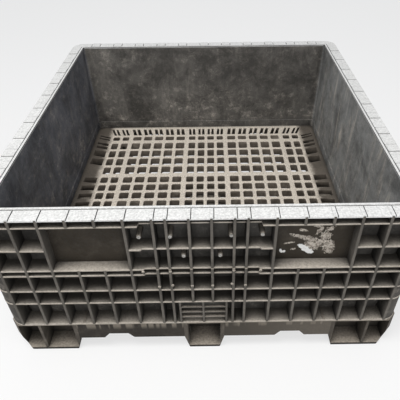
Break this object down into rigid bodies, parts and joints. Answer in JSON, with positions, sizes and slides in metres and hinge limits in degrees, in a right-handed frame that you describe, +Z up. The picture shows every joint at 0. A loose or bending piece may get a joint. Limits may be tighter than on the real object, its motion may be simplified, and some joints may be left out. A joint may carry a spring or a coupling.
{
  "type": "bulk pallet box",
  "caption": "Square fixed-wall bulk pallet box moulded in one piece, with ribbed outer walls, a wide rim, a slotted grid floor and feet for fork entry.",
  "frame": {"origin": "on the ground under the middle of the box", "axes": "+X to the right across the front wall, +Y from the front wall to the back wall, +Z up; the front wall faces -Y"},
  "size_m": [1.2, 1.2, 0.57],
  "materials": {
    "body": "worn, dusty, dark charcoal"
  },
  "bodies": {
    "root": {"box_body": "body"}
  },
  "joints": []
}
